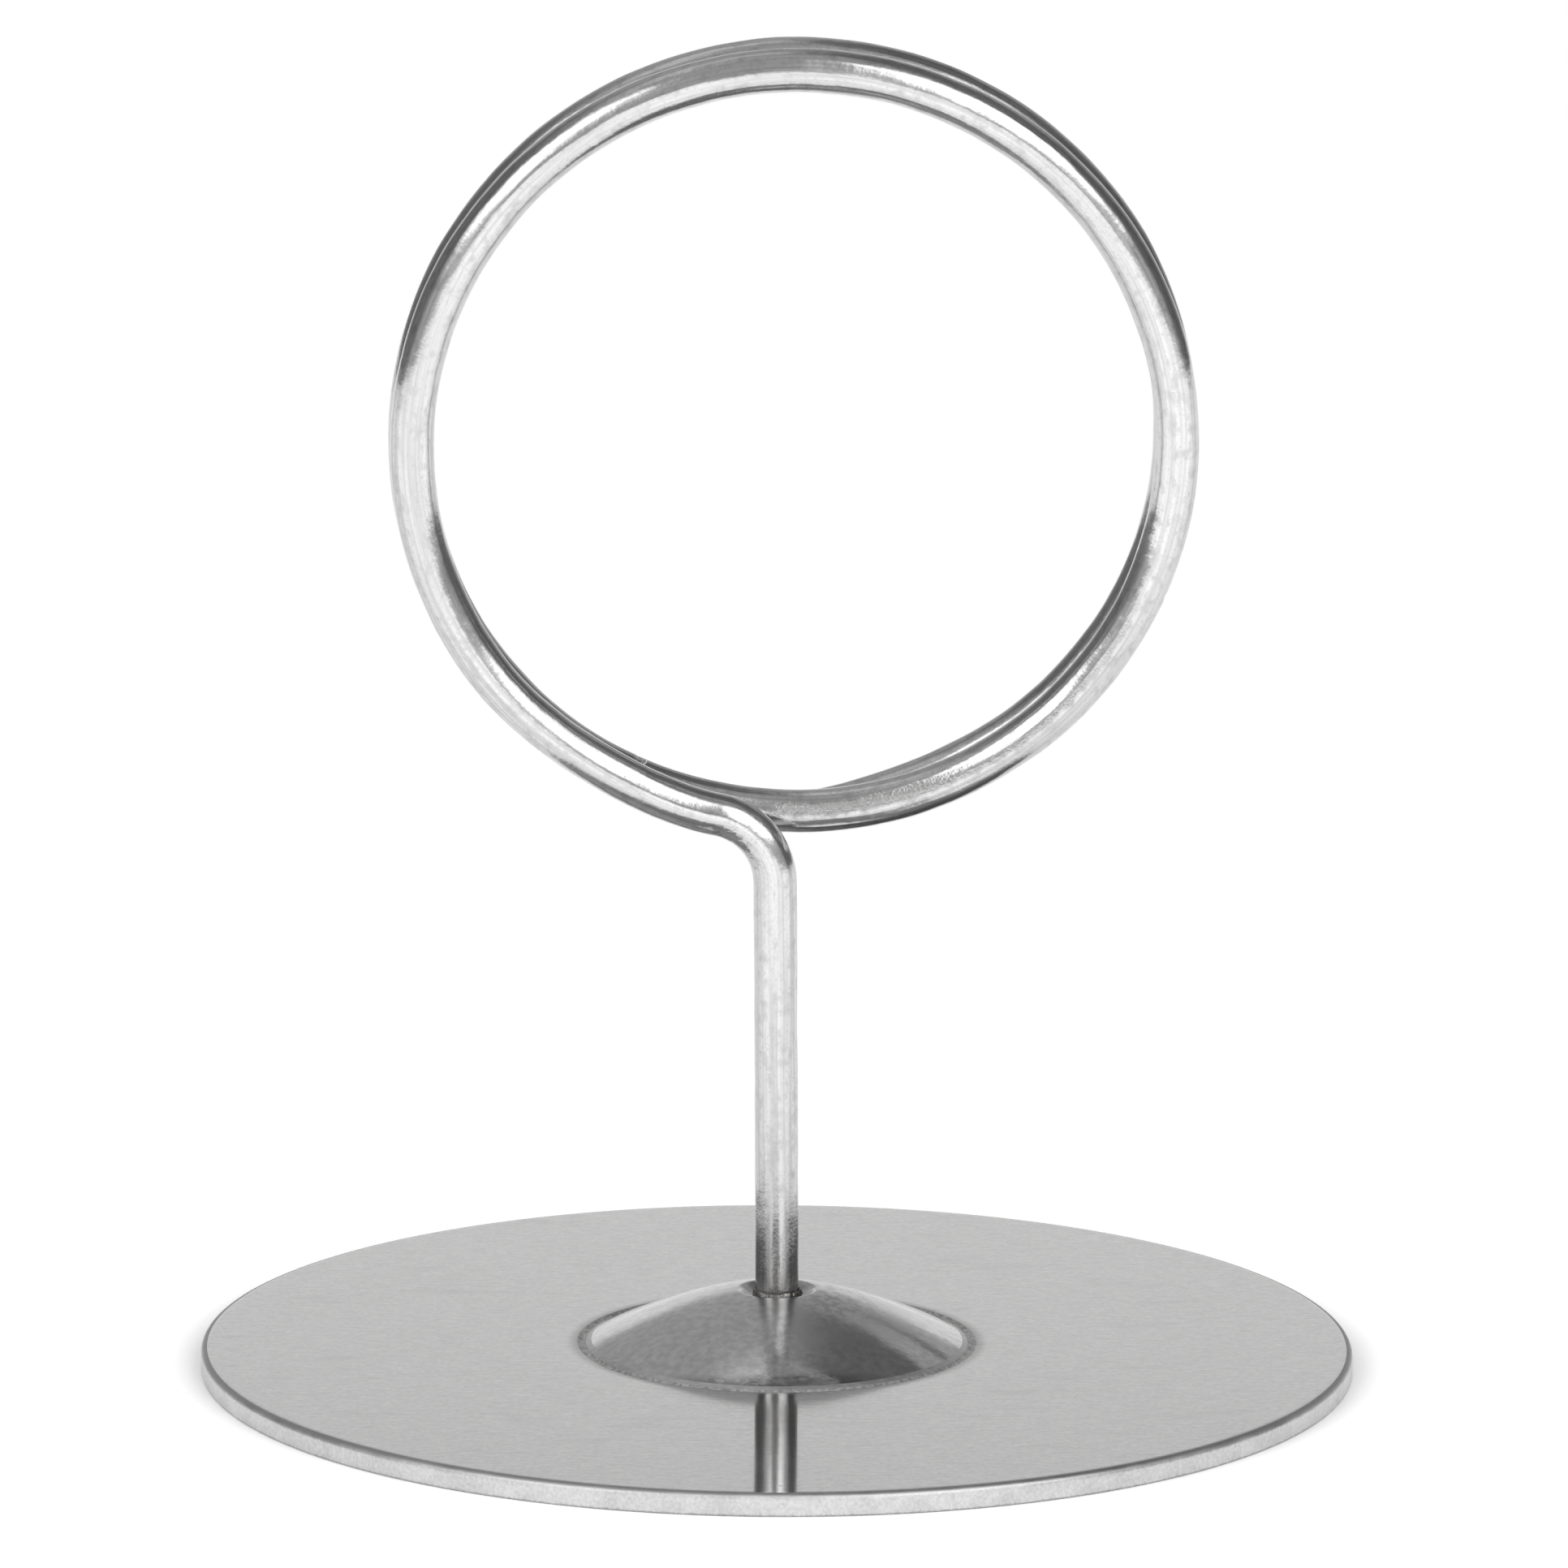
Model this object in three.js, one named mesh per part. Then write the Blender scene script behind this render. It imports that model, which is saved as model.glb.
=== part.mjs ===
// A table stand that grips a card between the two turns of a wire ring.
// A round pressed disc carries a stem; the stem's wire bends over and coils into the ring.
//
// Millimetres, +Z up. The origin is the centre of the disc's underside; +X is to the
// right and +Y to the back, as the ring is seen from its front.

import * as THREE from 'three';

// ---- Driving dimensions ----------------------------------------------------------

// Base disc, blanked and pressed from sheet
const baseDiameter = 76;
const sheetThickness = 1.5;
const upperRimRound = 0.4;
const lowerRimRound = 0.12;

// Dome pressed up in the middle of the disc
const domeDiameter = 25.2;
const domeHeight = 3.85;
const domeWall = 1.3;
const domeFootRound = 0.8;

// Groove pressed round the foot of the dome
const grooveWidth = 0.6;
const grooveDepth = 0.15;

// Dimple that the stem stands in
const dimpleDepth = 0.6;
const dimpleRampWidth = 0.9;

// Wire of the stem and the ring
const wireDiameter = 2.85;
const stemLean = THREE.MathUtils.degToRad(0.5);
const bendRadius = 4.7;

// Ring of two turns, wound clockwise from the bend as seen from the front
const ringRadius = 24.8;
const ringCentreX = 0.93;
const ringCentreZ = 61.35;
const ringLean = THREE.MathUtils.degToRad(1.5);
const freeEndAngle = THREE.MathUtils.degToRad(-87);

// How the second turn lies against the first
const rearTurnExtraRadius = 0.1;
const rearTurnShiftX = -0.11;
const rearTurnShiftZ = 0.25;
const crossoverSpan = THREE.MathUtils.degToRad(40);

// Slight unevenness of hand-wound turns
const frontOvalness = 0.1;
const frontOvalAngle = THREE.MathUtils.degToRad(12);
const rearOvalness = 0.16;
const rearOvalAngle = THREE.MathUtils.degToRad(29);
const leadInFlat = 0.22;
const leadInFlatSpan = THREE.MathUtils.degToRad(41);
const ovalFadeSpan = THREE.MathUtils.degToRad(52);

// The free end is left straighter than the ring, so it runs a little outside it
const tailSpan = THREE.MathUtils.degToRad(25);
const tailOpening = 0.78;

// Bead of weld round the stem's foot
const weldWidth = 0.2;
const weldHeight = 0.45;

// Clearances
const turnClearance = 0.06;
const springJointClearance = 0.06;
const stemFootClearance = 0.05;
const weldClearance = 0.03;

// Fineness of the facets
const discSegments = 64;
const domeFacets = 10;
const hollowFacets = 8;
const rampFacets = 5;
const roundFacets = 4;
const beadSegments = 40;
const wireSides = 12;
const wireStep = 1.6;
const wireSamples = 1000;

// ---- Sizes worked out from them --------------------------------------------------

const baseRadius = baseDiameter / 2;
const domeRadius = domeDiameter / 2;
const wireRadius = wireDiameter / 2;
const turnPitch = wireDiameter + turnClearance;
const discTop = sheetThickness;
const domeSphereRadius = (domeRadius ** 2 + domeHeight ** 2) / (2 * domeHeight);
const domeSphereZ = discTop + domeHeight - domeSphereRadius;
const hollowSphereRadius = domeSphereRadius - domeWall;
const dimpleFloorRadius = wireRadius + weldClearance + weldWidth + weldClearance;
const dimpleFloorZ = discTop + domeHeight - dimpleDepth;
const stemFootZ = dimpleFloorZ + stemFootClearance;

// The bend ends where it is tangent to the ring; this is the direction it has turned to.
const ringHeightOverFoot = ringCentreZ - stemFootZ;
const ringAcrossStem = ringCentreX * Math.cos(stemLean) + ringHeightOverFoot * Math.sin(stemLean);
const bendEnd = stemLean + Math.acos((ringAcrossStem + bendRadius) / (ringRadius + bendRadius));
const bendCentreX = ringCentreX - (ringRadius + bendRadius) * Math.cos(bendEnd);
const bendCentreZ = ringCentreZ - (ringRadius + bendRadius) * Math.sin(bendEnd);
const stemTopX = bendCentreX + bendRadius * Math.cos(stemLean);
const stemTopZ = bendCentreZ + bendRadius * Math.sin(stemLean);

// Angles round the ring are measured from +X towards +Z; the wire runs the other way.
const ringStartAngle = Math.PI + bendEnd;
const ringStartZ = ringCentreZ + ringRadius * Math.sin(ringStartAngle);
const bottomAngle = -Math.PI / 2;
const fullTurn = 2 * Math.PI;
const travelToBottom = ringStartAngle - bottomAngle;
const travelToEnd = ringStartAngle - freeEndAngle + fullTurn;

// Lengths along the wire
const stemLength = Math.hypot(stemTopX, stemTopZ - stemFootZ);
const bendLength = bendRadius * (bendEnd - stemLean);
const ringStartAt = stemLength + bendLength;
const springJointAt = ringStartAt + ringRadius * travelToBottom;
const wireEndAt = ringStartAt + ringRadius * travelToEnd;

// ---- Helpers ---------------------------------------------------------------------

/** Points of an arc in the (radius, height) plane, both ends included. */
function arcPoints(centreR, centreZ, radius, from, to) {
  const points = [];
  for (let i = 0; i <= roundFacets; i += 1) {
    const angle = from + ((to - from) * i) / roundFacets;
    points.push(new THREE.Vector2(centreR + radius * Math.cos(angle), centreZ + radius * Math.sin(angle)));
  }
  return points;
}

/** A curve height(radius) sampled from one radius to another, both ends included. */
function heightPoints(height, from, to, count) {
  const points = [];
  for (let i = 0; i <= count; i += 1) {
    const radius = from + ((to - from) * i) / count;
    points.push(new THREE.Vector2(radius, height(radius)));
  }
  return points;
}

/** Drops each point that repeats the one before it. */
function withoutRepeats(points) {
  return points.filter((point, i) => i === 0 || point.distanceTo(points[i - 1]) > 1e-6);
}

/** Turns a (radius, height) outline round the Z axis. */
function turned(points, segments) {
  const geometry = new THREE.LatheGeometry(withoutRepeats(points), segments);
  geometry.rotateX(Math.PI / 2);
  return geometry;
}

/** Rises smoothly from 0 to 1 as the value goes from 0 to 1. */
function smoothRise(value) {
  const t = THREE.MathUtils.clamp(value, 0, 1);
  return t * t * (3 - 2 * t);
}

function steel(colour, roughness) {
  return new THREE.MeshStandardMaterial({ color: colour, roughness, metalness: 1 });
}

// ---- Base disc -------------------------------------------------------------------

/** How far the dimple sinks the dome's skin at a radius: flat floor, then a smooth ramp. */
function dimpleDrop(radius) {
  return dimpleDepth * (1 - smoothRise((radius - dimpleFloorRadius) / dimpleRampWidth));
}

function sphereHeight(sphereRadius, radius) {
  return domeSphereZ + Math.sqrt(sphereRadius ** 2 - radius ** 2);
}

function domeTopHeight(radius) {
  return sphereHeight(domeSphereRadius, radius) - dimpleDrop(radius);
}

function domeHollowHeight(radius) {
  return sphereHeight(hollowSphereRadius, radius) - dimpleDrop(radius);
}

function grooveHeight(radius) {
  return discTop - grooveDepth * Math.sin((Math.PI * (radius - domeRadius)) / grooveWidth);
}

function baseDiscGeometry() {
  const dimpleEdge = dimpleFloorRadius + dimpleRampWidth;
  const grooveEdge = domeRadius + grooveWidth;

  // The round between the dome's hollow and the flat underside touches both.
  const footCentreR = Math.sqrt(
    (hollowSphereRadius + domeFootRound) ** 2 - (domeFootRound - domeSphereZ) ** 2,
  );
  const footAngle = Math.atan2(domeFootRound - domeSphereZ, footCentreR);
  const hollowEdge = hollowSphereRadius * Math.cos(footAngle);

  const outline = [
    new THREE.Vector2(0, domeHollowHeight(0)),
    ...heightPoints(domeHollowHeight, dimpleFloorRadius, dimpleEdge, rampFacets),
    ...heightPoints(domeHollowHeight, dimpleEdge, hollowEdge, hollowFacets),
    ...arcPoints(footCentreR, domeFootRound, domeFootRound, footAngle + Math.PI, 1.5 * Math.PI),
    ...arcPoints(baseRadius - lowerRimRound, lowerRimRound, lowerRimRound, -Math.PI / 2, 0),
    ...arcPoints(baseRadius - upperRimRound, discTop - upperRimRound, upperRimRound, 0, Math.PI / 2),
    ...heightPoints(grooveHeight, grooveEdge, domeRadius, roundFacets),
    ...heightPoints(domeTopHeight, domeRadius, dimpleEdge, domeFacets),
    ...heightPoints(domeTopHeight, dimpleEdge, dimpleFloorRadius, rampFacets),
    new THREE.Vector2(0, dimpleFloorZ),
  ];
  return turned(outline, discSegments);
}

// ---- Weld bead -------------------------------------------------------------------

/** Quarter-oval bead standing on the dimple's floor, close round the stem. */
function weldBeadGeometry() {
  const innerRadius = wireRadius + weldClearance;
  const bottomZ = dimpleFloorZ + weldClearance;
  const outline = [];
  for (let i = 0; i <= roundFacets; i += 1) {
    const angle = (Math.PI / 2) * (i / roundFacets);
    const radius = innerRadius + weldWidth * Math.cos(angle);
    outline.push(new THREE.Vector2(radius, bottomZ + weldHeight * Math.sin(angle)));
  }
  outline.unshift(new THREE.Vector2(innerRadius, bottomZ));
  outline.push(outline[0].clone());
  return turned(outline, beadSegments);
}

// ---- Wire ------------------------------------------------------------------------

/** A point of the ring's centre line, given the angle travelled round it from the bend. */
function ringPoint(travel) {
  const angle = ringStartAngle - travel;
  const rear = smoothRise((travel - travelToBottom) / crossoverSpan + 0.5);
  const front = 1 - rear;

  const flat = Math.sin(Math.PI * Math.min(travel / leadInFlatSpan, 1)) ** 2;
  const tail = THREE.MathUtils.clamp((travel - travelToEnd) / tailSpan + 1, 0, 1) ** 2;
  const fadeIn = smoothRise(travel / ovalFadeSpan);
  const frontOval = frontOvalness * fadeIn * Math.cos(2 * (angle - frontOvalAngle));
  const rearOval = rearOvalness * Math.cos(2 * (angle - rearOvalAngle));
  const unevenness = rear * (rearTurnExtraRadius + rearOval) + front * frontOval;
  const radius = ringRadius + unevenness - leadInFlat * flat + tailOpening * tail;

  const x = ringCentreX + rear * rearTurnShiftX + radius * Math.cos(angle);
  const z = ringCentreZ + rear * rearTurnShiftZ + radius * Math.sin(angle);
  const y = turnPitch * (travel / fullTurn) - Math.tan(ringLean) * (z - ringStartZ);
  return new THREE.Vector3(x, y, z);
}

/** A point of the wire's centre line, given the distance along it from the stem's foot. */
function wirePoint(distance) {
  if (distance < stemLength) {
    const share = distance / stemLength;
    return new THREE.Vector3(share * stemTopX, 0, stemFootZ + share * (stemTopZ - stemFootZ));
  }
  if (distance < ringStartAt) {
    const angle = stemLean + (distance - stemLength) / bendRadius;
    const x = bendCentreX + bendRadius * Math.cos(angle);
    return new THREE.Vector3(x, 0, bendCentreZ + bendRadius * Math.sin(angle));
  }
  return ringPoint((distance - ringStartAt) / ringRadius);
}

/** The stretch of the wire between two distances along it. */
class WireStretch extends THREE.Curve {
  constructor(from, to) {
    super();
    this.from = from;
    this.to = to;
    this.arcLengthDivisions = wireSamples;
  }

  getPoint(t) {
    return wirePoint(this.from + t * (this.to - this.from));
  }
}

function roundSection(radius, sides) {
  const points = [];
  for (let i = 0; i < sides; i += 1) {
    const angle = (fullTurn * i) / sides;
    points.push(new THREE.Vector2(radius * Math.cos(angle), radius * Math.sin(angle)));
  }
  return new THREE.Shape(points);
}

function wireGeometry(from, to) {
  return new THREE.ExtrudeGeometry(roundSection(wireRadius, wireSides), {
    extrudePath: new WireStretch(from, to),
    steps: Math.round((to - from) / wireStep),
    bevelEnabled: false,
  });
}

// ---- Assembly --------------------------------------------------------------------

function part(name, geometry, material) {
  const mesh = new THREE.Mesh(geometry, material);
  mesh.name = name;
  return mesh;
}

const stand = new THREE.Group();
const halfGap = springJointClearance / 2;
stand.add(part('base_disc', baseDiscGeometry(), steel('#b4b4b2', 0.35)));
stand.add(part('weld_bead', weldBeadGeometry(), steel('#6a6a6c', 0.5)));
stand.add(part('stem_and_front_turn', wireGeometry(0, springJointAt - halfGap), steel('#c9c9c9', 0.2)));
stand.add(part('rear_turn', wireGeometry(springJointAt + halfGap, wireEndAt), steel('#c9c9c9', 0.2)));

export default stand;
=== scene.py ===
"""Looks of a ring card holder: a pressed steel disc, a wire stem and a sprung wire ring."""
import math

import bpy
import numpy as np
from bpy.props import FloatProperty, FloatVectorProperty, PointerProperty
from mathutils import Matrix, Vector


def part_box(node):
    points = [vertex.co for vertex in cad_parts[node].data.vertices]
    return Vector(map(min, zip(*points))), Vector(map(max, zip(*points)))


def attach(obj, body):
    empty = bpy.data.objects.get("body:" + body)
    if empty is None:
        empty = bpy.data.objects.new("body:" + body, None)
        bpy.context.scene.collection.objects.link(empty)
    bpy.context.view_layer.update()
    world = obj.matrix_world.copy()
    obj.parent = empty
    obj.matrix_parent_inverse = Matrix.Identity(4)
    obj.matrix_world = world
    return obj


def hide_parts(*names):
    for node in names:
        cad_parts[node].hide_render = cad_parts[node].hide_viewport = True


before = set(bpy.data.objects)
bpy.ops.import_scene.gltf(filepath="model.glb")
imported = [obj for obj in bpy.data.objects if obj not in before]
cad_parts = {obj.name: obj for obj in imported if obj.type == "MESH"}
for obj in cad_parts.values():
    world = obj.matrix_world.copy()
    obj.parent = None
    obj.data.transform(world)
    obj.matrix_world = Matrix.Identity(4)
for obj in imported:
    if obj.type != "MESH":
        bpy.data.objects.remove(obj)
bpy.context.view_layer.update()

bl_info = {
    "name": "Ring Card Holder",
    "version": (1, 0, 0),
    "blender": (4, 5, 0),
    "location": "View3D > Sidebar > Card Holder",
    "description": "Builds a wire ring card holder on a pressed steel disc",
    "category": "Add Mesh",
}

MM = 0.001
FULL_TURN = 2 * math.pi
STAND_BODY = "stand"
CLIP_BODY = "ring_clip"


def linear(hex_colour):
    """Linear RGB of an sRGB hex colour."""
    values = [int(hex_colour[i : i + 2], 16) / 255 for i in (1, 3, 5)]
    return tuple(v / 12.92 if v <= 0.04045 else ((v + 0.055) / 1.055) ** 2.4 for v in values)


# ---- Sizes and colours that a user would change -------------------------------------

_, disc_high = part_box("base_disc")
bead_low, bead_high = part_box("weld_bead")


def length(name, description, default):
    """A length property whose default is given in millimetres."""
    return FloatProperty(
        name=name, description=description, default=default * MM, unit="LENGTH", precision=5
    )


def angle(name, description, default):
    """An angle property whose default is given in degrees."""
    return FloatProperty(
        name=name, description=description, default=math.radians(default), unit="ROTATION"
    )


def colour(name, description, default):
    """A colour property whose default is an sRGB hex value."""
    return FloatVectorProperty(
        name=name, description=description, default=linear(default), subtype="COLOR", min=0, max=1
    )


class DiscSizes(bpy.types.PropertyGroup):
    """Sizes of the pressed base disc."""

    radius: length("Radius", "Outer radius of the disc", disc_high.x / MM)
    sheet: length("Sheet", "Thickness of the sheet", 1.5)
    upper_rim_round: length("Upper Rim Round", "Round that blanking leaves on the upper rim", 0.4)
    lower_rim_round: length("Lower Rim Round", "Small round on the lower rim", 0.12)
    dome_radius: length("Dome Radius", "Radius of the pressed dome at its foot", 12.6)
    dome_height: length("Dome Height", "Height of the dome above the flat", 3.85)
    dome_wall: length("Dome Wall", "Thickness of the stretched sheet in the dome", 1.3)
    dome_foot_round: length("Hollow Round", "Round between the hollow and the underside", 0.8)
    groove_width: length("Groove Width", "Width of the groove round the dome", 0.6)
    groove_depth: length("Groove Depth", "Depth of the groove round the dome", 0.15)
    dimple_depth: length("Dimple Depth", "Depth of the dimple that the stem stands in", 0.6)
    dimple_floor: length("Dimple Floor", "Radius of the dimple's flat floor", 1.685)
    dimple_ramp: length("Dimple Ramp", "Width of the dimple's sloping side", 1.0)
    flank_hollow: length("Flank Hollow", "How far the dome's flank sinks below a sphere", 0.33)


class WireSizes(bpy.types.PropertyGroup):
    """Sizes of the wire that makes the stem and both turns of the ring."""

    radius: length("Wire Radius", "Radius of the wire", 1.425)
    foot_height: length("Foot Height", "Height of the stem's foot", 4.8)
    stem_lean: angle("Stem Lean", "Lean of the stem to the left", 0.5)
    bend_radius: length("Bend Radius", "Radius of the bend between stem and ring", 4.7)
    ring_radius: length("Ring Radius", "Radius of the front turn's centre line", 24.8)
    ring_x: length("Ring X", "Place of the ring's centre to the right of the stem", 0.93)
    ring_z: length("Ring Z", "Height of the ring's centre", 61.35)
    ring_lean: angle("Ring Lean", "Lean of the ring towards the front", 1.5)
    turn_pitch: length("Turn Pitch", "Distance from the front turn to the rear turn", 2.91)
    free_end: angle("Free End", "Angle of the wire's free end round the ring", -87)
    rear_extra: length("Rear Extra", "How much larger the rear turn's radius is", 0.1)
    rear_shift_x: length("Rear Shift X", "Sideways shift of the rear turn", -0.11)
    rear_shift_z: length("Rear Shift Z", "Upward shift of the rear turn", 0.25)
    crossover: angle("Crossover", "Angle over which the wire passes to the rear turn", 40)
    front_oval: length("Front Oval", "Unevenness of the front turn", 0.1)
    front_oval_angle: angle("Front Oval Angle", "Direction of the front turn's long axis", 12)
    rear_oval: length("Rear Oval", "Unevenness of the rear turn", 0.16)
    rear_oval_angle: angle("Rear Oval Angle", "Direction of the rear turn's long axis", 29)
    lead_flat: length("Lead Flat", "Flattening of the ring just after the bend", 0.22)
    lead_flat_span: angle("Lead Flat Span", "Angle that the flattening takes", 41)
    oval_fade: angle("Oval Fade", "Angle over which the unevenness starts", 52)
    tail_span: angle("Tail Span", "Angle of the straighter stretch at the free end", 25)
    tail_opening: length("Tail Opening", "How far the free end runs outside the ring", 0.78)


class SteelColours(bpy.types.PropertyGroup):
    """Colours of the steel."""

    sheet: colour("Sheet", "Cold-rolled stainless sheet", "#d1d1d0")
    sheet_shade: colour("Sheet Shade", "Darker clouding of the sheet", "#b9b9b9")
    mark: colour("Mark", "Scratches, smears and specks on the sheet", "#adadad")
    dome: colour("Dome", "Dome polished by the punch", "#d2d2d2")
    dome_shade: colour("Dome Shade", "Smoky clouding of the dome", "#bebebe")
    # Painted shade colour: darkens the dome's right side and its front foot, and both rims of the disc's
    # edge.
    painted_shade_tone: colour("Smoke", "Heat smoke and grime on the dome", "#858585")
    edge: colour("Edge", "Blanked edge of the disc", "#dedede")
    edge_shade: colour("Edge Shade", "Dull patches of the blanked edge", "#c2c2c2")
    groove: colour("Groove", "Coined groove round the dome", "#d8d8d7")
    groove_shade: colour("Groove Shade", "Dark grains in the groove", "#a8a8a8")
    wire: colour("Wire", "Bright drawn stainless wire", "#d6d6d6")
    wire_shade: colour("Wire Shade", "Dull streaks on the wire", "#b6b6b6")
    weld: colour("Weld", "Weld flash and heat-dulled metal", "#7a7876")
    floor: colour("Floor", "Matt white table", "#f4f4f4")


# ---- Meshes -------------------------------------------------------------------------


def smooth_rise(value):
    """3t^2 - 2t^3 with t held between 0 and 1: rises smoothly from 0 to 1."""
    t = np.clip(value, 0, 1)
    return t * t * (3 - 2 * t)


def closed_mesh(name, rows, first_pole=None, last_pole=None):
    """A closed surface through a grid of points that wraps round along its second index.

    With poles, the first and last rows are fanned to one point each; without them the
    first index wraps round too. Faces are turned outwards by the sign of the volume.
    """
    count, around = rows.shape[:2]
    verts = rows.reshape(-1, 3)
    wraps = first_pole is None
    i = np.arange(count if wraps else count - 1)[:, None]
    j = np.arange(around)[None, :]
    below, above = (i % count) * around, ((i + 1) % count) * around
    here, there = j, (j + 1) % around
    quads = np.stack([below + here, below + there, above + there, above + here], -1).reshape(-1, 4)
    faces = [quads]
    if not wraps:
        first, last = len(verts), len(verts) + 1
        verts = np.vstack([verts, first_pole, last_pole])
        ring, after = np.arange(around), (np.arange(around) + 1) % around
        top = (count - 1) * around
        faces.append(np.stack([np.full(around, first), after, ring], -1))
        faces.append(np.stack([np.full(around, last), top + ring, top + after], -1))
    volume = 0.0
    for block in faces:
        corner = verts[block]
        for k in range(1, block.shape[1] - 1):
            volume += np.einsum("ij,ij->", corner[:, 0], np.cross(corner[:, k], corner[:, k + 1]))
    if volume < 0:
        faces = [block[:, ::-1] for block in faces]
    mesh = bpy.data.meshes.new(name)
    mesh.vertices.add(len(verts))
    mesh.vertices.foreach_set("co", verts.astype(np.float32).ravel())
    sizes = np.concatenate([np.full(len(block), block.shape[1]) for block in faces])
    mesh.loops.add(int(sizes.sum()))
    corners = np.concatenate([block.ravel() for block in faces])
    mesh.loops.foreach_set("vertex_index", corners.astype(np.int32))
    mesh.polygons.add(len(sizes))
    starts = np.concatenate([[0], np.cumsum(sizes)[:-1]])
    mesh.polygons.foreach_set("loop_start", starts.astype(np.int32))
    mesh.update(calc_edges=True)
    mesh.validate()
    mesh.polygons.foreach_set("use_smooth", np.ones(len(mesh.polygons), bool))
    piece = bpy.data.objects.new(name, mesh)
    bpy.context.scene.collection.objects.link(piece)
    return piece


def arc(centre_r, centre_z, radius, start, end, count):
    """Points centre + radius (cos a, sin a) for angles a from start to end."""
    a = np.linspace(start, end, count)
    return np.stack([centre_r + radius * np.cos(a), centre_z + radius * np.sin(a)], -1)


# ---- Base disc ----------------------------------------------------------------------

DISC_AROUND = 360
POLE_RADIUS = 0.02 * MM
SHEET, EDGE, GROOVE, DOME = range(4)

# t^2 (1 - t) peaks at t = 2/3; this factor makes the peak 1.
PEAK_TO_ONE = 27 / 4


def dimple_drop(s, r):
    """Drop of the dome's skin at radius r: the full depth on the floor, none past the ramp.

    Between them it fades on a smooth rise.
    """
    return s.dimple_depth * (1 - smooth_rise((r - s.dimple_floor) / s.dimple_ramp))


def disc_profile(s):
    """Half section of the disc from the hollow's crown to the dimple, with a part index per point.

    The dome is a sphere cap through its foot and crown and the hollow a sphere about the same
    centre. Both drop at the dimple, and both sink on the flank in proportion to t^2 (1 - t),
    where t = r / dome radius, by the flank hollow at the most. Rims are quarter circles and
    the groove is half a sine.
    """
    sphere = (s.dome_radius**2 + s.dome_height**2) / (2 * s.dome_height)
    centre_z = s.sheet + s.dome_height - sphere
    hollow = sphere - s.dome_wall
    foot_r = math.sqrt((hollow + s.dome_foot_round) ** 2 - (s.dome_foot_round - centre_z) ** 2)
    foot_a = math.atan2(s.dome_foot_round - centre_z, foot_r)

    def dome(radius, r):
        t = np.clip(r / s.dome_radius, 0, 1)
        sink = s.flank_hollow * PEAK_TO_ONE * t * t * (1 - t)
        return np.stack([r, centre_z + np.sqrt(radius**2 - r**2) - dimple_drop(s, r) - sink], -1)

    ramp_end = s.dimple_floor + s.dimple_ramp
    hollow_end = hollow * math.cos(foot_a)
    groove_end = s.dome_radius + s.groove_width
    groove_r = np.linspace(groove_end, s.dome_radius, 9)
    groove_z = s.sheet - s.groove_depth * np.sin(math.pi * (groove_r - s.dome_radius) / s.groove_width)
    past_hollow, past_groove, before_rim, past_round = 0.5 * MM, 0.1 * MM, 0.3 * MM, 0.05 * MM
    lower = s.radius - s.lower_rim_round
    upper = s.radius - s.upper_rim_round
    flat_out = np.linspace(foot_r + past_hollow, lower - before_rim, 12)
    flat_in = np.linspace(upper - before_rim, groove_end + past_groove, 16)
    wall_z = np.linspace(s.lower_rim_round + past_round, s.sheet - s.upper_rim_round - past_round, 8)
    parts = [
        (DOME, dome(hollow, np.linspace(POLE_RADIUS, s.dimple_floor, 4))),
        (DOME, dome(hollow, np.linspace(s.dimple_floor, ramp_end, 10)[1:])),
        (DOME, dome(hollow, np.linspace(ramp_end, hollow_end, 14)[1:])),
        (SHEET, arc(foot_r, s.dome_foot_round, s.dome_foot_round, foot_a + math.pi, 1.5 * math.pi, 7)[1:]),
        (SHEET, np.stack([flat_out, np.zeros_like(flat_out)], -1)),
        (EDGE, arc(lower, s.lower_rim_round, s.lower_rim_round, -math.pi / 2, 0, 5)),
        (EDGE, np.stack([np.full_like(wall_z, s.radius), wall_z], -1)),
        (EDGE, arc(upper, s.sheet - s.upper_rim_round, s.upper_rim_round, 0, math.pi / 2, 9)),
        (SHEET, np.stack([flat_in, np.full_like(flat_in, s.sheet)], -1)),
        (GROOVE, np.stack([groove_r, groove_z], -1)),
        (DOME, dome(sphere, np.linspace(s.dome_radius, ramp_end, 30)[1:])),
        (DOME, dome(sphere, np.linspace(ramp_end, s.dimple_floor, 14)[1:])),
        (DOME, dome(sphere, np.linspace(s.dimple_floor, POLE_RADIUS, 4)[1:])),
    ]
    points = np.concatenate([p for _, p in parts])
    kinds = np.concatenate([np.full(len(p), kind) for kind, p in parts])
    return points, kinds


def turned_grid(points, around):
    """Each (r, z) point carried round the Z axis: (r cos a, r sin a, z)."""
    a = np.arange(around) * FULL_TURN / around
    x = points[:, 0, None] * np.cos(a)
    y = points[:, 0, None] * np.sin(a)
    z = np.repeat(points[:, 1, None], around, axis=1)
    return np.stack([x, y, z], -1)


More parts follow.
